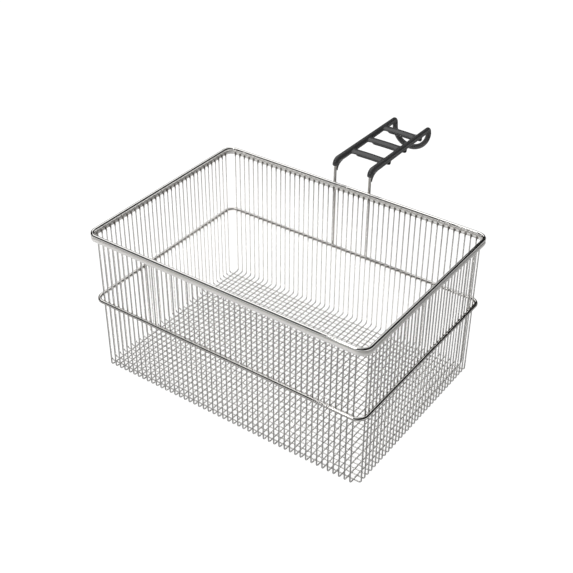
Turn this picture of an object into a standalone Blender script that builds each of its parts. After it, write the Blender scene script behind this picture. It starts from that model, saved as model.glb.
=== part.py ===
"""A deep fryer basket of welded round steel wire with a black moulded ladder grip.

Lengths are in metres and +Z is up. The long sides of the basket run along X, the handle
leaves the middle of one long side along +Y, and the part rests on its lowest wires.
"""

import math

import bmesh
import bpy
from mathutils import Vector

MM = 0.001

# Fits
GAP = 0.3 * MM  # the clearance kept between two pieces that touch
WELD = 0.1 * MM  # how far a wire sinks into the rod that it is welded to

# Wire mesh
WIRE_D = 1.5 * MM
CROSS_COUNT = 49  # wires that run front to back and up the long walls
CROSS_PITCH = 6.35 * MM
LENGTH_COUNT = 34  # wires that run left to right and up the short walls
LENGTH_PITCH = 6.30 * MM
CORNER_GAP = 7.35 * MM  # from the last wire of a wall to the plane of the next wall
WIRE_BEND = 3.0 * MM  # centre radius of each wire's two bottom bends
WIRE_SIDES = 6

# Rods of the rim and of the ring halfway down
RIM_ROD_D = 4.0 * MM
RING_ROD_D = 4.0 * MM
ROD_SIDES = 12
ROD_CORNER = 10.0 * MM  # centre radius of the rods' corners
RIM_LOWER_Z = 161.5 * MM
RING_Z = 86.5 * MM

# Handle rod
HANDLE_ROD_D = 3.2 * MM
HANDLE_SIDES = 8
HALF_SPREAD = 21.7 * MM  # from the handle's middle to the centre of either rail
FOOT_Z = RING_Z - 1.5 * MM
RAIL_Z = 191.7 * MM
RAIL_BEND = 5.5 * MM
REACH = 125.2 * MM  # from the legs to the top of the loop at the outer end
NOSE_BEND = 4.0 * MM
RAIL_FALL = 0.8 * MM  # how far the rails come down on their way to the outer end
NOSE_DROP = 2.1 * MM  # from each nose bend down to the half circle that hangs at the outer end
LOOP_LEAN = 1.4 * MM  # how much further in the bottom of the loop hangs than its top

# Grip
SLEEVE_D = 6.6 * MM  # at the legs; the sleeve narrows along the rails
SLEEVE_NOSE_D = 5.6 * MM
SLEEVE_KEEL = 5.1 * MM  # how far the sleeve's level underside lies below the rails' upper end
LOOP_D = 6.2 * MM
SLEEVE_SIDES = 10
BORE_CLEARANCE = 0.3 * MM
SLEEVE_TAIL = 0.5 * MM  # how far the sleeve runs down each leg below the rail's bend
FANG_DROP = 6.8 * MM  # how far the pointed fin hangs below the sleeve's lower end
FANG_RUN = 12.0 * MM  # how far along the rail the fin's curve reaches
FANG_TIP = 0.9 * MM
FANG_WIDTH = 4.4 * MM
BAR_FIRST = 31.0 * MM  # from the legs to the middle of the first crossbar
BAR_PITCH = 33.7 * MM
BAR_COUNT = 3
BAR_HALF = 7.0 * MM
BAR_END = 2.0 * MM  # how far each end of a crossbar reaches past the rail's axis
BAR_TOP = 1.7 * MM  # how far a crossbar's top stands above the rail's axis
BAR_SKIN = 2.0 * MM
BAR_LIP = 7.4 * MM  # how far the outer lip hangs below the rail's axis
BAR_LIP_SKIN = 1.5 * MM  # the lip is thinner, and curls back under the bar
BAR_ARCH = 0.5 * MM
BAR_FLARE = 1.6 * MM  # how much each edge of a crossbar spreads where it meets a rail

# Sizes that follow from the ones above
HALF_X = (CROSS_COUNT - 1) / 2 * CROSS_PITCH + CORNER_GAP  # to the wires of a short wall
HALF_Y = (LENGTH_COUNT - 1) / 2 * LENGTH_PITCH + CORNER_GAP  # to the wires of a long wall
LOW_WIRE_Z = WIRE_D / 2
HIGH_WIRE_Z = LOW_WIRE_Z + WIRE_D + GAP
RIM_UPPER_Z = RIM_LOWER_Z + RIM_ROD_D + GAP
WIRE_TOP_Z = RIM_LOWER_Z + RIM_ROD_D / 2
LEG_Y = HALF_Y + WIRE_D / 2 + GAP + RIM_ROD_D + GAP + HANDLE_ROD_D / 2
LOOP_Y = LEG_Y + REACH
LOOP_Z = RAIL_Z - RAIL_FALL - NOSE_BEND - NOSE_DROP
SLEEVE_START_Z = RAIL_Z - RAIL_BEND - SLEEVE_TAIL


def arc(centre, along, across, radius, start, end, steps):
    """Points on a circle, from the angle start to the angle end, in degrees."""
    centre, along, across = Vector(centre), Vector(along), Vector(across)
    points = []
    for i in range(steps + 1):
        angle = math.radians(start + (end - start) * i / steps)
        points.append(centre + radius * (math.cos(angle) * along + math.sin(angle) * across))
    return points


def tube(name, path, diameter, sides, side_on, closed=False):
    """A tube of many flats along a path, mitred at each bend.

    side_on is a direction square to the first length, and one flat of the tube faces it.
    The flats lie at half the diameter from the path, so a wire's flats touch what its
    round surface would touch. A list of diameters, one for each point, makes a taper.
    """
    path = [Vector(p) for p in path]
    count = len(path)
    widths = diameter if isinstance(diameter, list) else [diameter] * count
    radius = 0.5 / math.cos(math.pi / sides)
    first = (path[1] - path[0]).normalized()
    u = Vector(side_on).normalized()
    v = first.cross(u)
    spokes = []
    for i in range(sides):
        angle = 2 * math.pi * (i + 0.5) / sides
        spokes.append(radius * (math.cos(angle) * u + math.sin(angle) * v))

    mesh = bmesh.new()
    rings = []
    for i in range(count):
        here = (path[(i + 1) % count] - path[i]).normalized()
        before = (path[i] - path[i - 1]).normalized()
        if not closed and i == 0:
            before = here
        if not closed and i == count - 1:
            here = before
        mitre = (before + here).normalized()
        if closed and i == 0:
            # the first spokes are square to the length that leaves this corner
            ends = [s - here * (s.dot(mitre) / here.dot(mitre)) for s in spokes]
        else:
            ends = [s - before * (s.dot(mitre) / before.dot(mitre)) for s in spokes]
        rings.append([mesh.verts.new(path[i] + e * widths[i]) for e in ends])
        spokes = [e - here * e.dot(here) for e in ends]
    for i in range(count if closed else count - 1):
        a, b = rings[i], rings[(i + 1) % count]
        for k in range(sides):
            mesh.faces.new((a[k], a[(k + 1) % sides], b[(k + 1) % sides], b[k]))
    if not closed:
        mesh.faces.new(list(reversed(rings[0])))
        mesh.faces.new(rings[-1])
    return finish(name, mesh)


def finish(name, mesh):
    """Turns the faces outwards and makes the object."""
    bmesh.ops.recalc_face_normals(mesh, faces=mesh.faces)
    data = bpy.data.meshes.new(name)
    mesh.to_mesh(data)
    mesh.free()
    made = bpy.data.objects.new(name, data)
    bpy.context.scene.collection.objects.link(made)
    return made


def merged(name, pieces):
    """Helper shapes that don't meet each other, as one helper object."""
    mesh = bmesh.new()
    for piece in pieces:
        mesh.from_mesh(piece.data)
        bpy.data.objects.remove(piece)
    return finish(name, mesh)


def combine(target, helper, operation):
    """Adds or cuts a helper shape with an exact Boolean, and hides the helper."""
    step = target.modifiers.new(operation.title() + " " + helper.name, "BOOLEAN")
    step.operation = operation
    step.solver = "EXACT"
    step.object = helper
    helper.hide_render = True
    helper.display_type = "WIRE"


def paint(target, colour, metallic, roughness):
    material = bpy.data.materials.new(target.name)
    material.use_nodes = True
    shader = material.node_tree.nodes["Principled BSDF"]
    shader.inputs["Base Color"].default_value = (*colour, 1)
    shader.inputs["Metallic"].default_value = metallic
    shader.inputs["Roughness"].default_value = roughness
    target.data.materials.clear()
    target.data.materials.append(material)


def hoop(name, half_x, half_y, z, diameter):
    """A closed rod bent into a rectangle with round corners."""
    path = []
    for sx, sy, start in ((1, 1, 0), (-1, 1, 90), (-1, -1, 180), (1, -1, 270)):
        centre = (sx * (half_x - ROD_CORNER), sy * (half_y - ROD_CORNER), z)
        path += arc(centre, (1, 0, 0), (0, 1, 0), ROD_CORNER, start, start + 90, 3)
    return tube(name, path, diameter, ROD_SIDES, (0, 0, 1), closed=True)


def bent_wire(name, along, place, half, base_z):
    """A wire in a U: up one wall, across the bottom and up the opposite wall."""
    along, up = Vector(along), Vector((0, 0, 1))
    turn = half - WIRE_BEND
    floor = base_z + WIRE_BEND
    path = [place - half * along + WIRE_TOP_Z * up]
    path += arc(place - turn * along + floor * up, along, up, WIRE_BEND, 180, 270, 2)
    path += arc(place + turn * along + floor * up, along, up, WIRE_BEND, 270, 360, 2)
    path.append(place + half * along + WIRE_TOP_Z * up)
    return tube(name, path, WIRE_D, WIRE_SIDES, -along)


def handle_path(foot_z):
    """The centre line of the handle rod, from one leg round the outer loop to the other."""
    x, bend, nose = HALF_SPREAD, RAIL_BEND, NOSE_BEND
    up, out = (0, 0, 1), (0, 1, 0)
    half = [Vector((-x, LEG_Y, foot_z))]
    half += arc((-x, LEG_Y + bend, RAIL_Z - bend), (0, -1, 0), up, bend, 0, 90, 3)
    half += arc((-x, LOOP_Y - nose, RAIL_Z - RAIL_FALL - nose), up, out, nose, 0, 90, 3)
    loop = arc((0, LOOP_Y, LOOP_Z), (-1, 0, 0), (0, 0, -1), x, 0, 180, 10)
    for point in loop:
        point.y -= LOOP_LEAN * (LOOP_Z + NOSE_DROP - point.z) / (NOSE_DROP + x)
    back = [Vector((-p.x, p.y, p.z)) for p in reversed(half)]
    return half + loop + back


def crossbar(name, y):
    """A curved plate with a lip that curls down and back on its outer side."""
    w, top, lip = BAR_HALF, BAR_TOP, BAR_LIP
    # the plate's outer line, from the inner edge over the top and round the lip
    line = [(-0.90 * w, -1.4 * top), (-0.72 * w, -0.3 * top), (-0.38 * w, 0.6 * top),
            (0.02 * w, top), (0.42 * w, 0.45 * top), (0.74 * w, -0.9 * top),
            (0.95 * w, -0.5 * lip), (w, -0.76 * lip), (0.80 * w, -0.97 * lip),
            (0.30 * w, -0.95 * lip)]
    # the same line a skin thickness inside it
    inside = []
    for i, (sy, sz) in enumerate(line):
        py, pz = line[max(i - 1, 0)]
        ny, nz = line[min(i + 1, len(line) - 1)]
        run = math.hypot(ny - py, nz - pz)
        skin = BAR_LIP_SKIN if i > 6 else BAR_SKIN
        inside.append((sy + (nz - pz) / run * skin, sz - (ny - py) / run * skin))
    section = line + [inside[8], inside[6], inside[5], inside[4], inside[2], inside[1]]
    reach = HALF_SPREAD + BAR_END
    near = HALF_SPREAD - SLEEVE_NOSE_D / 2
    stations = [(-reach, 1, 0), (-near, 1, 0), (-near + 2.2 * MM, 0, 0.2), (0, 0, 1)]
    stations += [(-x, flare, rise) for x, flare, rise in reversed(stations[:-1])]
    mesh = bmesh.new()
    rings = []
    for x, flare, rise in stations:
        ring = []
        for sy, sz in section:
            # both edges spread towards the rail
            side = -1 if sy < -0.5 * w else 1 if sy > 0.2 * w else 0
            spread = side * flare * BAR_FLARE
            ring.append(mesh.verts.new((x, y + sy + spread, RAIL_Z + sz + rise * BAR_ARCH)))
        rings.append(ring)
    for a, b in zip(rings, rings[1:]):
        for k in range(len(section)):
            n = (k + 1) % len(section)
            mesh.faces.new((a[k], a[n], b[n], b[k]))
    for cap in (rings[0], rings[-1]):
        mesh.faces.new(cap)
    return finish(name, mesh)


def fang(name, x):
    """The pointed fin behind a leg, with the curve that carries it into the rail."""
    front = LEG_Y + HANDLE_ROD_D / 2 + BORE_CLEARANCE
    tip = SLEEVE_START_Z - FANG_DROP
    top = RAIL_Z - SLEEVE_D / 4
    far = LEG_Y + FANG_RUN
    under = RAIL_Z - SLEEVE_KEEL + 0.4 * MM
    outline = [Vector((x, front, top)), Vector((x, front, tip))]
    outline.append(Vector((x, front + FANG_TIP, tip)))
    # a quarter ellipse from the tip up to the rail's underside
    steps = 6
    for i in range(1, steps + 1):
        angle = math.radians(90 * i / steps)
        y = front + FANG_TIP + (far - front - FANG_TIP) * (1 - math.cos(angle))
        outline.append(Vector((x, y, tip + (under - tip) * math.sin(angle))))
    outline[-1].z = under
    outline.append(Vector((x, far, top)))
    mesh = bmesh.new()
    sides = []
    for shift in (-FANG_WIDTH / 2, FANG_WIDTH / 2):
        sides.append([mesh.verts.new(p + Vector((shift, 0, 0))) for p in outline])
    for k in range(len(outline)):
        n = (k + 1) % len(outline)
        mesh.faces.new((sides[0][k], sides[0][n], sides[1][n], sides[1][k]))
    mesh.faces.new(list(reversed(sides[0])))
    mesh.faces.new(sides[1])
    return finish(name, mesh)


def middle_out(count, pitch):
    return [(i - (count - 1) / 2) * pitch for i in range(count)]


for leftover in list(bpy.data.objects):
    bpy.data.objects.remove(leftover)

STEEL = (0.62, 0.62, 0.61)

# Upper rod of the rim
clear_x = HALF_X + WIRE_D / 2 + GAP
clear_y = HALF_Y + WIRE_D / 2 + GAP
welded_x = HALF_X + WIRE_D / 2 - WELD
welded_y = HALF_Y + WIRE_D / 2 - WELD
rim = RIM_ROD_D / 2
rim_upper = hoop("rim_upper_rod", clear_x + rim, clear_y + rim, RIM_UPPER_Z, RIM_ROD_D)

# Lower rod of the rim, which carries the lengthwise wires
rim_lower = hoop("rim_lower_rod_and_lengthwise_wires", welded_x + rim, clear_y + rim,
                 RIM_LOWER_Z, RIM_ROD_D)
lengthwise = [bent_wire("wire", (1, 0, 0), Vector((0, y, 0)), HALF_X, LOW_WIRE_Z)
              for y in middle_out(LENGTH_COUNT, LENGTH_PITCH)]
combine(rim_lower, merged("lengthwise_wires", lengthwise), "UNION")

# Ring halfway down, which carries the crosswise wires
ring = RING_ROD_D / 2
middle_ring = hoop("ring_rod_and_crosswise_wires", clear_x + ring, welded_y + ring,
                   RING_Z, RING_ROD_D)
crosswise = [bent_wire("wire", (0, 1, 0), Vector((x, 0, 0)), HALF_Y, HIGH_WIRE_Z)
             for x in middle_out(CROSS_COUNT, CROSS_PITCH)]
combine(middle_ring, merged("crosswise_wires", crosswise), "UNION")

# Handle rod, one length bent into both legs, both rails and the outer loop
handle_rod = tube("handle_rod", handle_path(FOOT_Z), HANDLE_ROD_D, HANDLE_SIDES, (0, -1, 0))

# Grip, one moulding round the handle rod
sleeve_path = handle_path(SLEEVE_START_Z)
sleeve_widths = []
for point in sleeve_path:
    along = min(1, max(0, (point.y - LEG_Y - RAIL_BEND) / (REACH - RAIL_BEND - NOSE_BEND)))
    sleeve_widths.append(SLEEVE_D + (SLEEVE_NOSE_D - SLEEVE_D) * along)
for i, point in enumerate(sleeve_path):
    if point.z < LOOP_Z + 0.1 * MM and point.y > LEG_Y + REACH / 2:
        sleeve_widths[i] = LOOP_D
grip = tube("grip", sleeve_path, sleeve_widths, SLEEVE_SIDES, (0, -1, 0))
rail_start, rail_end = LEG_Y + RAIL_BEND, LOOP_Y - NOSE_BEND
for vertex in grip.data.vertices:
    # the rails are deeper than they are wide: their lower half reaches down to the keel
    along = (vertex.co.y - rail_start) / (rail_end - rail_start)
    below = RAIL_Z - RAIL_FALL * along - vertex.co.z
    if -0.001 < along < 1.001 and 0.1 * MM < below < SLEEVE_D:
        radius = (SLEEVE_D + (SLEEVE_NOSE_D - SLEEVE_D) * along) / 2
        vertex.co.z -= below * ((SLEEVE_KEEL - RAIL_FALL * along) / radius - 1)
bars = [crossbar("bar", LEG_Y + BAR_FIRST + i * BAR_PITCH) for i in range(BAR_COUNT)]
combine(grip, merged("crossbars", bars), "UNION")
combine(grip, merged("fangs", [fang("fang", x) for x in (-HALF_SPREAD, HALF_SPREAD)]), "UNION")
bore_d = HANDLE_ROD_D + 2 * BORE_CLEARANCE
bore = tube("bore", handle_path(SLEEVE_START_Z - FANG_DROP - 2 * MM), bore_d, HANDLE_SIDES,
            (0, -1, 0))
combine(grip, bore, "DIFFERENCE")

for steel in (rim_upper, rim_lower, middle_ring, handle_rod):
    paint(steel, STEEL, 1.0, 0.22)
paint(grip, (0.03, 0.03, 0.032), 0.0, 0.42)

# Stand the outline's middle over the origin
reaches = [vertex.co.y for made in bpy.data.objects for vertex in made.data.vertices]
middle_y = (min(reaches) + max(reaches)) / 2
for made in bpy.data.objects:
    for vertex in made.data.vertices:
        vertex.co.y -= middle_y
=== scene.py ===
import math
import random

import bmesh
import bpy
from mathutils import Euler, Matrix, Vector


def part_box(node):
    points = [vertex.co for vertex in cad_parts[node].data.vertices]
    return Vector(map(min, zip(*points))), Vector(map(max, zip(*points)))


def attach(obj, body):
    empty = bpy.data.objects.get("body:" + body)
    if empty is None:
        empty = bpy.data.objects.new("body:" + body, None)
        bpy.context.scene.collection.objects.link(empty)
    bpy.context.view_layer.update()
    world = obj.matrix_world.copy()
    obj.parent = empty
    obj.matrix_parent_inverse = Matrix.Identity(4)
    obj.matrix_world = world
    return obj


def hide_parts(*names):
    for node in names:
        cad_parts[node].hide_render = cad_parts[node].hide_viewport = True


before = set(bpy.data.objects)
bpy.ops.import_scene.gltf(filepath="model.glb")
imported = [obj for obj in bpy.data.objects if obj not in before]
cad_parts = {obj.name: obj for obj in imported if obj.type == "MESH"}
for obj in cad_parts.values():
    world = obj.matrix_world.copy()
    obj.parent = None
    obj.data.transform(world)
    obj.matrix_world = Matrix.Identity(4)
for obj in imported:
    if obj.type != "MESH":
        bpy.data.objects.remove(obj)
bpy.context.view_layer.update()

# %% [markdown]
# # A deep fryer basket
# The basket is a cage of thin round wires, held in shape by thicker rods and carried by a
# handle with a black moulded grip. The CAD model gives every place and size. This file makes
# the surfaces that the eye meets: round wires instead of flats, weld beads, a grip whose
# bars flow into its rails, and finishes for steel and plastic.

print("CAD nodes:", ", ".join(sorted(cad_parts)))

# %% [markdown]
# ## Sizes
# Everything is in metres, so a millimetre is 0.001. The box of the upper rim rod gives the
# middle of the basket and how far out the rods lie. The other sizes are those of the CAD
# source: two layers of thin wire, three thick rods round them, and one rod for the handle.

# %% Sizes of the wires and rods
MM = 0.001
rim_low, rim_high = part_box("rim_upper_rod")
MIDDLE = (rim_low + rim_high) / 2
ROD_D = rim_high.z - rim_low.z
ROD_X = (rim_high.x - rim_low.x - ROD_D) / 2
ROD_Y = (rim_high.y - rim_low.y - ROD_D) / 2
ROD_CORNER = 10 * MM
UPPER_Z, LOWER_Z, BELT_Z = MIDDLE.z, 161.5 * MM, 86.5 * MM

WIRE_D = 1.5 * MM
SUNK = 0.12 * MM  # how deep a weld lets a wire into what it crosses
WIRE_BEND = 3 * MM
WIRE_TOP = LOWER_Z + ROD_D / 2
CROSS_COUNT, CROSS_PITCH = 49, 6.35 * MM
LENGTH_COUNT, LENGTH_PITCH = 34, 6.30 * MM
WALL_X = ROD_X - ROD_D / 2 - WIRE_D / 2 + SUNK
WALL_Y = ROD_Y - ROD_D / 2 - WIRE_D / 2 + SUNK

HANDLE_D = 3.2 * MM
HALF_SPREAD = 21.7 * MM
LEG_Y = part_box("handle_rod")[0].y + HANDLE_D / 2
FOOT_Z, RAIL_Z, REACH = 85 * MM, 191.7 * MM, 125.2 * MM
RAIL_BEND, NOSE_BEND, NOSE_DROP = 5.5 * MM, 4 * MM, 2.1 * MM
RAIL_FALL, LOOP_LEAN = 0.8 * MM, 1.4 * MM
LOOP_Y = LEG_Y + REACH
RAIL_START, RAIL_END = LEG_Y + RAIL_BEND, LOOP_Y - NOSE_BEND
print("middle of the basket:", [round(1000 * c, 2) for c in MIDDLE])
print(f"rods {1000 * ROD_D:.1f} mm, legs at y = {1000 * LEG_Y:.2f} mm")

# %% [markdown]
# ## Bending wire
# On the real basket each wire is drawn, cut and bent round a pin. The same two moves make
# the mesh: **feed** pushes a ring of edges forward with an extrude, and **bend** carries it
# round a centre with a spin. A curve object with a bevel would give a round wire too, but
# here each ring can also note how far along the wire it is, which the finishes use later to
# run the fine drawing marks lengthwise.

# %% A wire that is fed and bent
class Wire:
    """A round wire that grows ring by ring from its first end."""

    def __init__(self, mesh, diameter, sides, start, heading, capped=True, tone=0.5):
        self.mesh, self.run, self.tone = mesh, 0.0, tone
        self.centre, self.heading = Vector(start), Vector(heading).normalized()
        self.grain = (mesh.verts.layers.float_vector.get("grain")
                      or mesh.verts.layers.float_vector.new("grain"))
        self.shade = (mesh.verts.layers.float.get("tone")
                      or mesh.verts.layers.float.new("tone"))
        turn = Vector((0, 0, 1)).rotation_difference(self.heading).to_matrix().to_4x4()
        ring = bmesh.ops.create_circle(
            mesh, cap_ends=capped, segments=sides, radius=diameter / 2,
            matrix=Matrix.Translation(self.centre) @ turn)["verts"]
        for i, vert in enumerate(ring):
            angle = 2 * math.pi * i / sides
            vert[self.grain] = (0, math.cos(angle), math.sin(angle))
            vert[self.shade] = tone
        self.ring = set(ring)
        self.edges = [e for v in ring for e in v.link_edges if e.verts[0] is v]

    def _next(self, made, distance):
        """Takes the newest ring of edges as the wire's end, and marks it."""
        self.run += distance
        ring = {g for g in made if isinstance(g, bmesh.types.BMVert)}
        for vert in ring:
            behind = next(e.other_vert(vert) for e in vert.link_edges
                          if e.other_vert(vert) in self.ring)
            vert[self.grain] = (self.run, behind[self.grain].y, behind[self.grain].z)
            vert[self.shade] = self.tone
        self.ring = ring
        self.edges = [g for g in made if isinstance(g, bmesh.types.BMEdge)
                      and g.verts[0] in ring and g.verts[1] in ring]

    def _size(self, grow):
        """Makes the newest ring wider or narrower about its centre."""
        if grow != 1:
            bmesh.ops.scale(self.mesh, verts=list(self.ring), vec=(grow, grow, grow),
                            space=Matrix.Translation(-self.centre))

    def feed(self, length, steps=1, grow=1):
        """Straight on, by so many equal steps."""
        for _ in range(steps):
            made = bmesh.ops.extrude_edge_only(self.mesh, edges=self.edges)["geom"]
            self._next(made, length / steps)
            bmesh.ops.translate(self.mesh, verts=list(self.ring),
                                vec=self.heading * (length / steps))
            self.centre += self.heading * (length / steps)
            self._size(grow)

    def bend(self, pin, axis, degrees, steps):
        """Round a pin that stands along the axis."""
        pin, angle = Vector(pin), math.radians(degrees / steps)
        turn = Matrix.Rotation(angle, 3, Vector(axis))
        for _ in range(steps):
            made = bmesh.ops.spin(self.mesh, geom=self.edges, cent=pin, axis=axis,
                                  angle=angle, steps=1, use_merge=False,
                                  use_duplicate=False)["geom_last"]
            self._next(made, abs(angle) * (self.centre - pin).length)
            self.centre = pin + turn @ (self.centre - pin)
            self.heading = turn @ self.heading

    def close(self):
        """Fills the last end with a flat face."""
        bmesh.ops.edgeloop_fill(self.mesh, edges=self.edges)


def piece(name, mesh, *nodes, slot="bright_steel", sharp=40):
    """Makes the mesh an object that rides on the basket and stands for CAD nodes."""
    bmesh.ops.recalc_face_normals(mesh, faces=mesh.faces)
    data = bpy.data.meshes.new(name)
    mesh.to_mesh(data)
    mesh.free()
    data.shade_smooth()
    data.set_sharp_from_angle(angle=math.radians(sharp))
    made = bpy.data.objects.new(name, data)
    bpy.context.scene.collection.objects.link(made)
    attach(made, "root")
    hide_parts(*nodes)
    corners = [Vector(v.co) for v in data.vertices]
    span = [round(1000 * (max(c[i] for c in corners) - min(c[i] for c in corners)), 1)
            for i in range(3)]
    print(f"{name}: {len(data.polygons)} faces, {span} mm")
    return made


# %% [markdown]
# ## The cage
# One layer of wires runs front to back and up the two long walls, the other runs left to
# right and up the short walls. Each wire is a U. The layers cross on the bottom, where every
# crossing is pressed together and welded by a current, so the upper layer sits a little
# sunk into the lower one. Wires that came off a coil are never all alike, so each gets its
# own shade, kept on the mesh as an attribute called tone.

# %% One bent wire
WIRE_SIDES, WIRE_BEND_STEPS = 10, 5
CHAMFER, CUT_END = 0.15 * MM, 0.8  # a cut end narrows to this share of the wire


def u_wire(mesh, along, place, half, z, tone):
    """One wire: down a wall, across the bottom and up the opposite wall."""
    along, up = Vector(along), Vector((0, 0, 1))
    across = along.cross(up)
    turn = half - WIRE_BEND
    drop = WIRE_TOP - CHAMFER - z - WIRE_BEND
    top = place - half * along + WIRE_TOP * up
    wire = Wire(mesh, CUT_END * WIRE_D, WIRE_SIDES, top, -up, tone=tone)
    wire.feed(CHAMFER, grow=1 / CUT_END)
    wire.feed(drop, steps=2)
    wire.bend(place - turn * along + (z + WIRE_BEND) * up, across, 90, WIRE_BEND_STEPS)
    wire.feed(2 * turn, steps=3)
    wire.bend(place + turn * along + (z + WIRE_BEND) * up, across, 90, WIRE_BEND_STEPS)
    wire.feed(drop, steps=2)
    wire.feed(CHAMFER, grow=CUT_END)
    wire.close()


def spaced(count, pitch):
    """Places in a row, the same to the left and to the right of the middle."""
    return [(i - (count - 1) / 2) * pitch for i in range(count)]


print(f"a wire has {WIRE_SIDES} sides and {WIRE_BEND_STEPS} steps in each bend")

# %% Both layers of wires
tones = random.Random(7)
low_z = WIRE_D / 2
high_z = low_z + WIRE_D - SUNK

mesh = bmesh.new()
for y in spaced(LENGTH_COUNT, LENGTH_PITCH):
    u_wire(mesh, (1, 0, 0), Vector((0, MIDDLE.y + y, 0)), WALL_X, low_z, tones.random())
wires_lengthwise = piece("wires_lengthwise", mesh, "rim_lower_rod_and_lengthwise_wires")

mesh = bmesh.new()
for x in spaced(CROSS_COUNT, CROSS_PITCH):
    u_wire(mesh, (0, 1, 0), Vector((x, MIDDLE.y, 0)), WALL_Y, high_z, tones.random())
wires_crosswise = piece("wires_crosswise", mesh, "ring_rod_and_crosswise_wires")

# %% [markdown]
# ## The three rods
# Two rods lie on each other round the rim and a third goes round the walls halfway down.
# Each is one rod bent into a rectangle, and its ends are butt welded at the middle of the
# back, where the handle hides the joint. The weld leaves a low collar, made here by letting
# the last few rings grow and shrink again.

# %% Rim rods and belt rod
ROD_SIDES, CORNER_STEPS = 24, 14
# how far each step of the collar goes, and by how much it grows
COLLAR = ((0.5 * MM, 1.0), (0.35 * MM, 1.035), (0.35 * MM, 1.0), (0.3 * MM, 1 / 1.035))
COLLAR_LONG, LAST_STEP = 1.5 * MM, 0.2 * MM


def hoop(mesh, z, half_x, half_y, weld_x):
    """A rod bent round four corners, back to where it began."""
    start = (weld_x, MIDDLE.y + half_y, z)
    rod = Wire(mesh, ROD_D, ROD_SIDES, start, (-1, 0, 0), capped=False)
    for length, grow in COLLAR:
        rod.feed(length, grow=grow)
    rod.feed(weld_x + half_x - ROD_CORNER - COLLAR_LONG, steps=4)
    for sx, sy in ((-1, 1), (-1, -1), (1, -1), (1, 1)):
        pin = (sx * (half_x - ROD_CORNER), MIDDLE.y + sy * (half_y - ROD_CORNER), z)
        rod.bend(pin, (0, 0, 1), 90, CORNER_STEPS)
        if sx == sy == 1:
            rod.feed(half_x - ROD_CORNER - weld_x - LAST_STEP, steps=4)
            rod.feed(LAST_STEP)
        elif sx == sy:
            rod.feed(2 * (half_x - ROD_CORNER), steps=8)
        else:
            rod.feed(2 * (half_y - ROD_CORNER), steps=6)
    bmesh.ops.remove_doubles(mesh, verts=mesh.verts, dist=0.02 * MM)


rods = {}
for name, z, weld_x, node in (
    ("rim_top_rod", UPPER_Z, -2.5 * MM, "rim_upper_rod"),
    ("rim_low_rod", LOWER_Z, 6 * MM, "rim_lower_rod_and_lengthwise_wires"),
    ("belt_rod", BELT_Z, 0.5 * MM, "ring_rod_and_crosswise_wires"),
):
    mesh = bmesh.new()
    hoop(mesh, z, ROD_X, ROD_Y, weld_x)
    rods[name] = piece(name, mesh, node)

# %% [markdown]
# ## The handle rod
# One thinner rod is bent into both legs, both rails and the round loop at the outer end. It
# is hidden inside the grip for most of its length, and shows only as the two legs, which
# are welded to the outside of all three rods.

# %% Legs, rails and loop in one length
HANDLE_SIDES, FOOT_CHAMFER = 20, 0.3 * MM
RAIL_STEPS, LOOP_STEPS, NOSE_STEPS, BEND_STEPS = 12, 40, 10, 12


def handle_run(mesh, diameter, sides, foot, taper=1.0, loop=1.0):
    """The line that both the rod and its plastic sleeve follow."""
    x, up = HALF_SPREAD, Vector((0, 0, 1))
    rise = RAIL_Z - RAIL_BEND - foot
    rail = LOOP_Y - LEG_Y - RAIL_BEND - NOSE_BEND
    step = taper ** (1 / RAIL_STEPS)
    # the pins that the two bends of a rail go round, as seen from the side
    near_pin, far_pin = LEG_Y + RAIL_BEND, LOOP_Y - NOSE_BEND
    near_z, far_z = RAIL_Z - RAIL_BEND, RAIL_Z - NOSE_BEND
    wire = Wire(mesh, CUT_END * diameter, sides, (-x, LEG_Y, foot), up)
    wire.feed(FOOT_CHAMFER, grow=1 / CUT_END)
    wire.feed(rise - FOOT_CHAMFER, steps=2)
    wire.bend((-x, near_pin, near_z), (1, 0, 0), -90, BEND_STEPS)
    wire.feed(rail, steps=RAIL_STEPS, grow=step)
    wire.bend((-x, far_pin, far_z), (1, 0, 0), -90, NOSE_STEPS)
    wire.feed(NOSE_DROP, grow=loop)
    wire.bend((0, LOOP_Y, far_z - NOSE_DROP), (0, 1, 0), -180, LOOP_STEPS)
    wire.feed(NOSE_DROP, grow=1 / loop)
    wire.bend((x, far_pin, far_z), (1, 0, 0), 90, NOSE_STEPS)
    wire.feed(rail, steps=RAIL_STEPS, grow=1 / step)
    wire.bend((x, near_pin, near_z), (1, 0, 0), 90, BEND_STEPS)
    wire.feed(rise - FOOT_CHAMFER, steps=2)
    wire.feed(FOOT_CHAMFER, grow=CUT_END)
    wire.close()


def settle(mesh):
    """The rails fall a little on their way out, and the loop leans back in under them."""
    hinge = RAIL_Z - RAIL_FALL - NOSE_BEND
    for vert in mesh.verts:
        along = (vert.co.y - RAIL_START) / (RAIL_END - RAIL_START)
        vert.co.z -= RAIL_FALL * min(1, max(0, along))
        if along > 1 and vert.co.z < hinge:
            vert.co.y -= LOOP_LEAN * (hinge - vert.co.z) / (NOSE_DROP + HALF_SPREAD)


mesh = bmesh.new()
handle_run(mesh, HANDLE_D, HANDLE_SIDES, FOOT_Z)
settle(mesh)
handle_frame = piece("handle_frame", mesh, "handle_rod")

# %% [markdown]
# ## Weld beads
# Where a wire meets a rod, or a leg meets a rod, the current melts a little metal, which
# sets as a small bead. A squashed ball sunk into both pieces is enough for each of them,
# and it is taller at the rim, which carries the load. There are hundreds beside the wires,
# so those balls are coarse, and the six on the legs are finer.

# %% Beads on the walls and on the legs
BEAD_WIDE, BEAD_DEEP = 1.3 * MM, 0.65 * MM
BEAD_TALL = {LOWER_Z: 1.8 * MM, BELT_Z: 1.3 * MM}
LEG_BEAD = (1.75 * MM, 0.75 * MM, 1.3 * MM)


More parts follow.
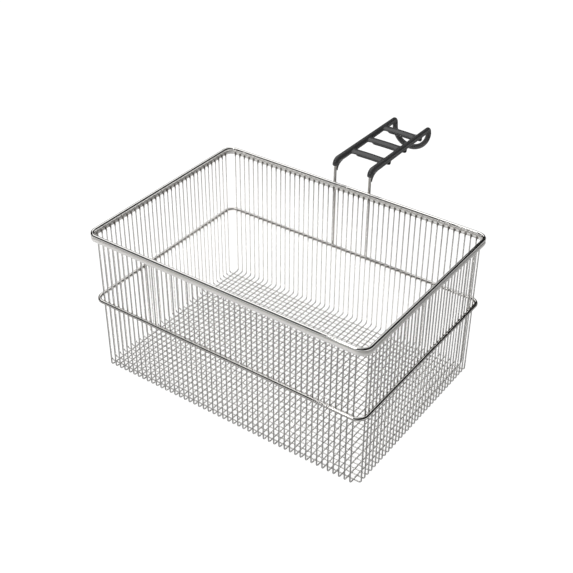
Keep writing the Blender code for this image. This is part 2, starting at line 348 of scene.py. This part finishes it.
def bead(mesh, place, size, detail):
    """A squashed ball, with its half widths along X, Y and Z."""
    stretch = Matrix.Diagonal((*size, 1))
    bmesh.ops.create_icosphere(mesh, subdivisions=detail, radius=1,
                               matrix=Matrix.Translation(Vector(place)) @ stretch)


mesh = bmesh.new()
for z, tall in BEAD_TALL.items():
    for side in (-1, 1):
        for x in spaced(CROSS_COUNT, CROSS_PITCH):
            place = (x, MIDDLE.y + side * (ROD_Y - ROD_D / 2), z)
            bead(mesh, place, (BEAD_WIDE, BEAD_DEEP, tall), 2)
        for y in spaced(LENGTH_COUNT, LENGTH_PITCH):
            place = (side * (ROD_X - ROD_D / 2), MIDDLE.y + y, z)
            bead(mesh, place, (BEAD_DEEP, BEAD_WIDE, tall), 2)
wall_welds = piece("wall_welds", mesh, "ring_rod_and_crosswise_wires")

mesh = bmesh.new()
for z in (UPPER_Z, LOWER_Z, BELT_Z):
    for x in (-HALF_SPREAD, HALF_SPREAD):
        touch = (MIDDLE.y + ROD_Y + ROD_D / 2 + LEG_Y - HANDLE_D / 2) / 2
        bead(mesh, (x, touch, z), LEG_BEAD, 3)
leg_welds = piece("leg_welds", mesh, "handle_rod")

# %% [markdown]
# ## The grip
# The grip is one moulding: a sleeve on the handle rod, three curved crossbars that make it
# a ladder, and a pointed fin behind each leg. Plastic flows, so all of these melt into each
# other with round hollows. Each form is first made by itself, and then a voxel remesh turns
# the pile into one skin and smoothing gives it the round hollows. Bevels on a Boolean would
# be another way, but they fail where so many curved forms meet.

# %% The sleeve
SLEEVE_D, NOSE_D, LOOP_D, KEEL = 6.6 * MM, 5.6 * MM, 6.2 * MM, 5.1 * MM
SLEEVE_SIDES, SLEEVE_TAIL = 24, 0.5 * MM
SLEEVE_FOOT = RAIL_Z - RAIL_BEND - SLEEVE_TAIL
LEAD = 0.02  # the share of a rail over which the keel begins

mesh = bmesh.new()
handle_run(mesh, SLEEVE_D, SLEEVE_SIDES, SLEEVE_FOOT, taper=NOSE_D / SLEEVE_D,
           loop=LOOP_D / NOSE_D)
for vert in mesh.verts:
    # along the rails the lower half of the sleeve reaches down to a level keel
    along = (vert.co.y - RAIL_START) / (RAIL_END - RAIL_START)
    below = RAIL_Z - vert.co.z
    if -LEAD < along <= 1.0001 and 0 < below < SLEEVE_D:
        radius = (SLEEVE_D + (NOSE_D - SLEEVE_D) * along) / 2
        ease = min(1, (along + LEAD) / (2 * LEAD))
        vert.co.z -= ease * below * ((KEEL - RAIL_FALL * along) / radius - 1)
settle(mesh)
print("sleeve faces:", len(mesh.faces))

# %% The crossbars
BAR_HALF, BAR_SKIN = 7 * MM, 1.9 * MM
BAR_FLARE, BAR_ARCH, BAR_END = 3.0 * MM, 0.5 * MM, 2 * MM
BAR_FIRST, BAR_PITCH = 31, 33.7  # in millimetres from the legs
# the section's outer line, from the inner edge over the crown and round the curled lip,
# and how far each of its points takes part when the plate spreads at its ends
BAR_LINE = [(-0.93, -0.20), (-0.83, 0.02), (-0.42, 0.12), (0.02, 0.17), (0.42, 0.10),
            (0.74, -0.20), (0.97, -0.55), (1.05, -0.88), (0.99, -1.15), (0.78, -1.29),
            (0.50, -1.25), (0.30, -1.10)]
BAR_SPREAD = [-1, -1, -0.3, 0, 0.4, 1, 1, 1, 1, 1, 1, 1]


def crossbar(y):
    """A thin arched plate with a lip, from rail to rail, as a mesh of its own."""
    plate = bmesh.new()
    reach = HALF_SPREAD + BAR_END
    near = HALF_SPREAD - NOSE_D / 2
    row = [plate.verts.new((-reach, y + a * BAR_HALF, RAIL_Z + b * BAR_HALF))
           for a, b in BAR_LINE]
    edges = [plate.edges.new(pair) for pair in zip(row, row[1:])]
    # how far each edge of the plate spreads, and how much it arches, from rail to rail
    half = [(near, 1, 0), (near - 1.0 * MM, 0.5, 0.05), (near - 2.2 * MM, 0.18, 0.1),
            (near - 4.5 * MM, 0, 0.3), (near - 9 * MM, 0, 0.7)]
    stations = [(-x, flare, rise) for x, flare, rise in half] + [(0, 0, 1)]
    stations += half[::-1] + [(reach, 1, 0)]
    for share, vert in zip(BAR_SPREAD, row):
        vert.co.y += share * BAR_FLARE
    last = (-reach, 1, 0)
    for x, flare, rise in stations:
        made = bmesh.ops.extrude_edge_only(plate, edges=edges)["geom"]
        fresh = {g for g in made if isinstance(g, bmesh.types.BMVert)}
        edges = [g for g in made if isinstance(g, bmesh.types.BMEdge)
                 and g.verts[0] in fresh and g.verts[1] in fresh]
        row = [next(e.other_vert(v) for e in v.link_edges if e.other_vert(v) in fresh)
               for v in row]
        bmesh.ops.translate(plate, verts=row, vec=(x - last[0], 0,
                                                   (rise - last[2]) * BAR_ARCH))
        for share, vert in zip(BAR_SPREAD, row):
            vert.co.y += share * (flare - last[1]) * BAR_FLARE
        last = (x, flare, rise)
    bmesh.ops.recalc_face_normals(plate, faces=plate.faces)
    crown = max(plate.faces, key=lambda f: f.calc_center_median().z)
    if crown.normal.z < 0:
        bmesh.ops.reverse_faces(plate, faces=plate.faces)
    bmesh.ops.solidify(plate, geom=plate.faces[:], thickness=BAR_SKIN)
    return plate


def soften(form, levels):
    """A form after subdivision, as the Subdivision Surface modifier leaves it."""
    data = bpy.data.meshes.new("form")
    form.to_mesh(data)
    form.free()
    cage = bpy.data.objects.new("form", data)
    bpy.context.scene.collection.objects.link(cage)
    step = cage.modifiers.new("Rounding", "SUBSURF")
    step.levels = step.render_levels = levels
    dg = bpy.context.evaluated_depsgraph_get()
    smooth = bpy.data.meshes.new_from_object(cage.evaluated_get(dg))
    bpy.data.objects.remove(cage)
    bpy.data.meshes.remove(data)
    return smooth


for i in range(3):
    plate = soften(crossbar(LEG_Y + (BAR_FIRST + BAR_PITCH * i) * MM), 2)
    mesh.from_mesh(plate)
    bpy.data.meshes.remove(plate)

# %% The fins behind the legs
FIN_DROP, FIN_REACH, FIN_TIP, FIN_WIDTH = 6.8 * MM, 12 * MM, 0.9 * MM, 4.4 * MM
FIN_INTO_LEG, FIN_INTO_KEEL = 0.2 * MM, 0.4 * MM
FIN_TIP_Z, FIN_FAR = SLEEVE_FOOT - FIN_DROP, LEG_Y + FIN_REACH
fin_front = LEG_Y + HANDLE_D / 2 - FIN_INTO_LEG
fin_top = RAIL_Z - SLEEVE_D / 4
fin_under = RAIL_Z - KEEL + FIN_INTO_KEEL


def fin(x):
    """A flat shape with a hollow quarter round, made a little thinner than the sleeve."""
    form = bmesh.new()
    left = x - FIN_WIDTH / 2
    tip = form.verts.new((left, fin_front + FIN_TIP, FIN_TIP_Z))
    radius = FIN_FAR - tip.co.y
    curve = bmesh.ops.spin(form, geom=[tip], cent=(left, FIN_FAR, FIN_TIP_Z),
                           axis=(1, 0, 0), angle=math.radians(-90), steps=10,
                           use_merge=False, use_duplicate=False)["geom_last"]
    bmesh.ops.scale(form, verts=form.verts, vec=(1, 1, (fin_under - FIN_TIP_Z) / radius),
                    space=Matrix.Translation((0, 0, -FIN_TIP_Z)))
    end = next(g for g in curve if isinstance(g, bmesh.types.BMVert))
    ring = [end]
    for y, z in ((FIN_FAR, fin_top), (fin_front, fin_top), (fin_front, FIN_TIP_Z)):
        ring.append(form.verts.new((left, y, z)))
    for pair in zip(ring, ring[1:] + [tip]):
        form.edges.new(pair)
    face = bmesh.ops.contextual_create(form, geom=form.edges[:])["faces"]
    made = bmesh.ops.extrude_face_region(form, geom=face)["geom"]
    bmesh.ops.translate(form, vec=(FIN_WIDTH, 0, 0),
                        verts=[g for g in made if isinstance(g, bmesh.types.BMVert)])
    bmesh.ops.recalc_face_normals(form, faces=form.faces)
    data = bpy.data.meshes.new("fin")
    form.to_mesh(data)
    form.free()
    return data


for x in (-HALF_SPREAD, HALF_SPREAD):
    data = fin(x)
    mesh.from_mesh(data)
    bpy.data.meshes.remove(data)
print(f"fins down to z = {1000 * FIN_TIP_Z:.1f} mm")

# %% One skin over all of it
VOXEL, SMOOTH_PASSES = 0.42 * MM, 9
data = bpy.data.meshes.new("grip_forms")
mesh.to_mesh(data)
mesh.free()
forms = bpy.data.objects.new("grip_forms", data)
bpy.context.scene.collection.objects.link(forms)
skin = forms.modifiers.new("Skin", "REMESH")
skin.mode, skin.voxel_size, skin.adaptivity = "VOXEL", VOXEL, 0
dg = bpy.context.evaluated_depsgraph_get()
moulded = bpy.data.meshes.new_from_object(forms.evaluated_get(dg))
bpy.data.objects.remove(forms)
mesh = bmesh.new()
mesh.from_mesh(moulded)
bpy.data.meshes.remove(moulded)
for _ in range(SMOOTH_PASSES):
    bmesh.ops.smooth_vert(mesh, verts=mesh.verts, factor=0.5, use_axis_x=True,
                          use_axis_y=True, use_axis_z=True)
hand_grip = piece("hand_grip", mesh, "grip", slot="black_plastic", sharp=180)

# %% [markdown]
# ## Shader maths
# A material is a net of nodes, and most of it is plain arithmetic on masks. The class below
# wraps one socket, so that `1 - mask * 0.4` adds two Math nodes by itself. Every other node
# comes from one method, which takes the node's type, its settings and its sockets.

# %% Masks and nodes
class Mask:
    """A number that varies over a surface."""

    def __init__(self, finish, socket):
        self.finish, self.socket = finish, socket

    def _math(self, operation, a, b):
        return self.finish.node("ShaderNodeMath", {"operation": operation}, {0: a, 1: b})

    def __add__(self, other):
        return self._math("ADD", self, other)

    def __sub__(self, other):
        return self._math("SUBTRACT", self, other)

    def __rsub__(self, other):
        return self._math("SUBTRACT", other, self)

    def __mul__(self, other):
        return self._math("MULTIPLY", self, other)


class Finish:
    """The nodes of one material, or of the world."""

    def __init__(self, owner):
        owner.use_nodes = True
        self.tree = owner.node_tree
        self.tree.nodes.clear()

    def node(self, kind, settings=None, sockets=None, out=0):
        """Adds a node, sets it up, links or fills its sockets and gives one output."""
        made = self.tree.nodes.new(kind)
        for name, value in (settings or {}).items():
            if name == "stops":
                ramp = made.color_ramp
                while len(ramp.elements) < len(value):
                    ramp.elements.new(0.5)
                for stop, (place, level) in zip(ramp.elements, value):
                    stop.position, stop.color = place, (level, level, level, 1)
            else:
                setattr(made, name, value)
        for name, value in (sockets or {}).items():
            if isinstance(value, Mask):
                self.tree.links.new(value.socket, made.inputs[name])
            else:
                made.inputs[name].default_value = value
        return Mask(self, made.outputs[out]) if made.outputs else None

    def noise(self, vector, scale, detail=2.0, roughness=0.5):
        """Soft random spots, so many to a metre or to a unit of the attribute."""
        return self.node("ShaderNodeTexNoise", {"noise_dimensions": "3D"},
                         {"Vector": vector, "Scale": scale, "Detail": detail,
                          "Roughness": roughness})

    def stretch(self, vector, by):
        """The vector with each of its numbers multiplied by one of its own."""
        return self.node("ShaderNodeVectorMath", {"operation": "MULTIPLY"},
                         {0: vector, 1: by})

    def span(self, mask, low, high, to_low=0.0, to_high=1.0):
        """The mask from low to high, made to run from to_low to to_high."""
        return self.node("ShaderNodeMapRange", {"clamp": True},
                         {"Value": mask, "From Min": low, "From Max": high,
                          "To Min": to_low, "To Max": to_high})

    def blend(self, mask, a, b):
        """One colour where the mask is 0 and the other where it is 1."""
        return self.node("ShaderNodeMix", {"data_type": "RGBA", "blend_type": "MIX"},
                         {"Factor": mask, 6: a, 7: b}, out=2)

    def place(self):
        """Where a point of the surface is, in metres."""
        return self.node("ShaderNodeTexCoord", out=3)

    def axis(self, vector, which):
        """One number of a vector: 0 is X, 1 is Y and 2 is Z."""
        return self.node("ShaderNodeSeparateXYZ", None, {0: vector}, out=which)

    def larger(self, a, b):
        """Whichever of two masks is larger."""
        return self.node("ShaderNodeMath", {"operation": "MAXIMUM"}, {0: a, 1: b})

    def ray(self, out):
        """1 for rays of one kind: 0 is the camera's, 3 mirrored, 6 let through."""
        return self.node("ShaderNodeLightPath", out=out)


print("one class for masks, one for finishes")

# %% [markdown]
# ## Steel
# The wires and rods are bright drawn steel. Drawing leaves hair-fine lines that run along
# the wire, and each wire takes a shade of its own. The grain attribute holds how far along
# the wire a point is and where it lies round it, so noise that is short round the wire and
# long along it gives the lines. Beside the welds the steel is tinted: on the wires the tint
# is dark brown and mostly painted shade where they meet the rods, with a little heat tint,
# and on the rods it is heat tint. The height of a point says whether a weld is near it. One
# function makes all four finishes. The upper rim rod and the belt are polished, and the
# legs are darker. The lower rim rod is mostly not metallic, and its pale colour is a painted
# reflection, so it stays pale where a mirror would show a dark room.

# %% Drawn steel
GRAIN_SCALE = (45, 7, 7)  # to a metre along the wire, and to a radius across it
# full heat tint and painted shade up to the first distance from the belt and none past the
# second, and at the rim the heights between which it rises and those between which it falls
# again
BELT_HEAT_AND_SHADE = (1.5 * MM, 5 * MM)
RIM_HEAT_AND_SHADE_BELOW = (LOWER_Z - 3.5 * MM, LOWER_Z - 2 * MM)
RIM_HEAT_AND_SHADE_ABOVE = (LOWER_Z + 2 * MM, LOWER_Z + 3 * MM)


def steel(name, pale, deep, roughness, spread, heat_and_shade_colour=(0.74, 0.66, 0.57), heat_and_shade_share=0.27,
          bare=1.0):
    """Metal whose lines follow the wire, tinted by heat and by painted shade beside the
    welds.
    """
    owner = bpy.data.materials.new(name)
    finish = Finish(owner)
    grain = finish.node("ShaderNodeAttribute", {"attribute_name": "grain"}, out=1)
    tone = finish.node("ShaderNodeAttribute", {"attribute_name": "tone"}, out=2)
    lines = finish.noise(finish.stretch(grain, GRAIN_SCALE), 1, 3, 0.6)
    clouds = finish.noise(finish.place(), 55, 2)
    height = finish.axis(finish.place(), 2)
    from_belt = finish.node("ShaderNodeMath", {"operation": "ABSOLUTE"},
                            {0: height - BELT_Z})
    at_belt = finish.span(from_belt, *BELT_HEAT_AND_SHADE, 1, 0)
    at_rim = (finish.span(height, *RIM_HEAT_AND_SHADE_BELOW)
              * finish.span(height, *RIM_HEAT_AND_SHADE_ABOVE, 1, 0))
    # painted shade and heat tint beside the welds, in the colour given for each steel
    heat_and_shade = (at_belt * 0.5 + at_rim) * finish.span(clouds, 0.35, 0.65, 0.6, 1) * heat_and_shade_share
    shade = (tone * 0.5 + lines * 0.3 + clouds * 0.2 - 0.5) * spread + 0.5
    colour = finish.blend(shade, (*deep, 1), (*pale, 1))
    tinted_and_shaded = finish.blend(heat_and_shade, colour, (*heat_and_shade_colour, 1))
    rough = lines * 0.14 + clouds * 0.06 + (roughness - 0.1)
    bump = finish.node("ShaderNodeBump", None, {"Strength": 0.25, "Distance": 0.00004,
                                                "Height": lines})
    shader = finish.node("ShaderNodeBsdfPrincipled", None,
                         {"Base Color": tinted_and_shaded, "Metallic": bare, "Roughness": rough,
                          "Normal": bump})
    finish.node("ShaderNodeOutputMaterial", None, {"Surface": shader})
    return owner


# the near black brown of the wires beside the welds is mostly painted shade where they meet
# the rods
wire_steel = steel("wire_steel", (0.97, 0.96, 0.945), (0.84, 0.825, 0.805), 0.20, 1.2,
                   heat_and_shade_colour=(0.16, 0.145, 0.125), heat_and_shade_share=0.95)
rod_steel = steel("rod_steel", (0.90, 0.89, 0.87), (0.78, 0.77, 0.75), 0.05, 0.9)
# the lower rim rod is mostly not metallic, and its pale colour is a painted reflection of a
# bright room
painted_reflection_steel = steel("painted_reflection_steel", (0.95, 0.945, 0.935), (0.86, 0.855, 0.845), 0.34, 0.9,
                   heat_and_shade_colour=(0.86, 0.82, 0.76), heat_and_shade_share=0.35, bare=0.2)
leg_steel = steel("leg_steel", (0.72, 0.70, 0.67), (0.60, 0.58, 0.55), 0.24, 0.9)
for made in (wires_lengthwise, wires_crosswise):
    made.data.materials.append(wire_steel)
for made in (rods["rim_top_rod"], rods["belt_rod"]):
    made.data.materials.append(rod_steel)
rods["rim_low_rod"].data.materials.append(painted_reflection_steel)
handle_frame.data.materials.append(leg_steel)
print("steel on", len(rods) + 3, "pieces")

# %% [markdown]
# A bead was liquid for a moment, so it is duller and more uneven than the drawn wire, with
# a dark brown skin. Noise in Object coordinates is enough for it.

# %% Weld metal
owner = bpy.data.materials.new("weld_metal")
finish = Finish(owner)
spots = finish.noise(finish.place(), 900, 3, 0.6)
colour = finish.blend(finish.span(spots, 0.3, 0.7), (0.16, 0.145, 0.125, 1),
                      (0.30, 0.28, 0.25, 1))
bump = finish.node("ShaderNodeBump", None, {"Strength": 0.5, "Distance": 0.0001,
                                            "Height": spots})
shader = finish.node("ShaderNodeBsdfPrincipled", None,
                     {"Base Color": colour, "Metallic": 1.0,
                      "Roughness": finish.span(spots, 0.3, 0.7, 0.32, 0.5), "Normal": bump})
finish.node("ShaderNodeOutputMaterial", None, {"Surface": shader})
wall_welds.data.materials.append(owner)
leg_welds.data.materials.append(owner)
print("weld metal on the beads")

# %% [markdown]
# ## Black plastic
# The grip is satin black, moulded in a tool with a very fine spark grain. Its colour is not
# pure black, and hands have polished the top of the rails a little. Two noises do it: a fine
# one for the grain in the bump, and a broad one for the wear in the roughness.

# %% Satin black
owner = bpy.data.materials.new("grip_plastic")
finish = Finish(owner)
place = finish.place()
fine = finish.noise(place, 2600, 2, 0.6)
broad = finish.noise(place, 60, 2)
top = finish.span(finish.axis(place, 2), RAIL_Z + 1.5 * MM, RAIL_Z + 3.2 * MM)
worn = top * finish.span(broad, 0.4, 0.6)
colour = finish.blend(finish.span(broad, 0.3, 0.7), (0.050, 0.050, 0.051, 1),
                      (0.060, 0.060, 0.061, 1))
bump = finish.node("ShaderNodeBump", None, {"Strength": 0.2, "Distance": 0.00002,
                                            "Height": fine})
shader = finish.node("ShaderNodeBsdfPrincipled", None,
                     {"Base Color": colour, "Roughness": fine * 0.1 + 0.20 - worn * 0.05,
                      "Normal": bump})
finish.node("ShaderNodeOutputMaterial", None, {"Surface": shader})
hand_grip.data.materials.append(owner)
print("plastic on the grip")

# %% [markdown]
# ## Floor, light and camera
# The basket stands on a plain pale floor with white all round it, as on a photographer's
# table, and the floor darkens a little under it. Bright steel is a mirror, and in a room
# that is white on all sides it would vanish. So the floor and the room look different to
# mirror rays, which Light Path tells apart. To mirror rays the floor carries painted shade:
# a painted shadow beside the front and right walls, and grey where the white sheet ends.
# Steel shows that as the grey core of each wire. The room is dark above the horizon, as a
# studio is beyond its lamps, and a rod shows that as a thin dark line. One wide soft lamp
# overhead puts the white line above it. A lamp from the front left brightens what isn't
# metal and is hidden from mirror rays, and a small one high in front gives the glints.

# %% Floor
mesh = bmesh.new()
bmesh.ops.create_grid(mesh, x_segments=1, y_segments=1, size=6)
data = bpy.data.meshes.new("floor")
mesh.to_mesh(data)
mesh.free()
floor = bpy.data.objects.new("floor", data)
bpy.context.scene.collection.objects.link(floor)
owner = bpy.data.materials.new("pale_floor")
finish = Finish(owner)
seen, glossy, through = finish.ray(0), finish.ray(3), finish.ray(6)
right, back = finish.axis(finish.place(), 0), finish.axis(finish.place(), 1)

# where the painted shade of the floor, which only mirror rays see, begins and ends, in
# metres
BESIDE_START, BESIDE_END = (-0.02, 0.0), (0.20, 0.30)
FRONT_SHEET_END = (-1.2, -0.9)
BACK_START, BACK_END, BACK_LEFT_END = (0.25, 0.29), (0.50, 0.80), (-0.24, -0.14)
# how far a point lies outside the right wall or the front wall, whichever is more
beyond = finish.larger(right - ROD_X, MIDDLE.y - ROD_Y - back)
# a painted shadow beside the front and right walls, which only mirror rays see
painted_shadow_beside = finish.span(beyond, *BESIDE_START) * finish.span(beyond, *BESIDE_END, 1, 0)
in_front = finish.span(back, *FRONT_SHEET_END, 1, 0)
behind = (finish.span(back, *BACK_START) * finish.span(back, *BACK_END, 1, 0)
          * finish.span(right, *BACK_LEFT_END))
shaded = finish.larger(painted_shadow_beside, in_front + behind) * glossy

# the part of the white that the floor gives off by itself, which no shadow takes away
GLOW, GLOW_SHARE = 1.17, 0.8
paper = finish.node("ShaderNodeBsdfDiffuse", None, {"Color": (0.82, 0.82, 0.82, 1)})
light = finish.blend(shaded, (1, 1, 1, 1), (0.14, 0.14, 0.14, 1))
white = finish.node("ShaderNodeEmission", None, {"Color": light, "Strength": GLOW})
share = finish.node("ShaderNodeMath", {"operation": "MINIMUM"},
                    {0: seen + glossy + through, 1: 1}) * GLOW_SHARE
mixed = finish.node("ShaderNodeMixShader", None, {0: share, 1: paper, 2: white})
finish.node("ShaderNodeOutputMaterial", None, {"Surface": mixed})
data.materials.append(owner)
print("floor 12 m wide, white to the camera and partly grey to steel")

# %% Surroundings
# the part of the room that the middle of the left and right rods mirrors is kept dark
MIRRORED_WAY = Vector((0.474, 0.669, 0.5725)).normalized()
world = bpy.data.worlds.new("studio")
bpy.context.scene.world = world
finish = Finish(world)
seen, glossy = finish.ray(0), finish.ray(3)
way = finish.node("ShaderNodeTexCoord", out=0)
up = finish.axis(way, 2)
# white below the horizon, black above it, and grey again right overhead
room = finish.node("ShaderNodeValToRGB",
                   {"stops": [(0.50, 1.0), (0.515, 0.0), (0.90, 0.0), (0.96, 0.6)]},
                   {"Fac": up * 0.5 + 0.5})
nearness = finish.node("ShaderNodeVectorMath", {"operation": "DOT_PRODUCT"},
                       {0: way, 1: MIRRORED_WAY}, out=1)
room = finish.blend(finish.span(nearness, 0.25, 0.60), room, (0.02, 0.02, 0.02, 1))
studio = finish.node("ShaderNodeBackground", None, {"Color": room, "Strength": 1.0})
soft = finish.node("ShaderNodeBackground", None, {"Color": (1, 1, 1, 1), "Strength": 0.42})
plain = finish.node("ShaderNodeBackground", None, {"Color": (1, 1, 1, 1), "Strength": 1.0})
lit = finish.node("ShaderNodeMixShader", None, {0: glossy, 1: soft, 2: studio})
both = finish.node("ShaderNodeMixShader", None, {0: seen, 1: lit, 2: plain})
finish.node("ShaderNodeOutputWorld", None, {"Surface": both})
print("surroundings white to the camera and dark to steel")

# %% Lamps
def softbox(name, place, aim, size, watts, mirrored):
    """A flat lamp that points at its aim or straight down, and may show in the steel."""
    lamp = bpy.data.lights.new(name, "AREA")
    lamp.shape, lamp.energy = "RECTANGLE", watts
    lamp.size, lamp.size_y = size
    made = bpy.data.objects.new(name, lamp)
    made.location = place
    if aim:
        line = Vector(aim) - Vector(place)
        made.rotation_euler = line.to_track_quat("-Z", "Y").to_euler()
    made.visible_glossy = mirrored
    bpy.context.scene.collection.objects.link(made)
    print(f"{name}: {size} m, {watts} W")


softbox("overhead", (-0.75, 0.45, 1.2), None, (1.3, 1.8), 9, True)
softbox("front_left", (-1.1, -1.0, 0.9), (0, 0, 0.1), (0.6, 0.6), 5, False)
softbox("spot", (-0.34, -1.36, 1.07), (0, 0, 0.1), (0.35, 0.35), 4, True)

# %% Camera
# it looks down from the front right, and its long lens keeps the sides almost parallel
lens = bpy.data.cameras.new("camera")
lens.sensor_width = 36
lens.lens = 67.381
camera = bpy.data.objects.new("camera", lens)
camera.location = (0.52243, -0.80374, 0.73522)
camera.rotation_euler = Euler((0.9612, -0.0037, 0.6192), "XYZ")
bpy.context.scene.collection.objects.link(camera)
bpy.context.scene.camera = camera
bpy.context.scene.view_settings.view_transform = "Standard"
print("camera at", [round(c, 3) for c in camera.location])
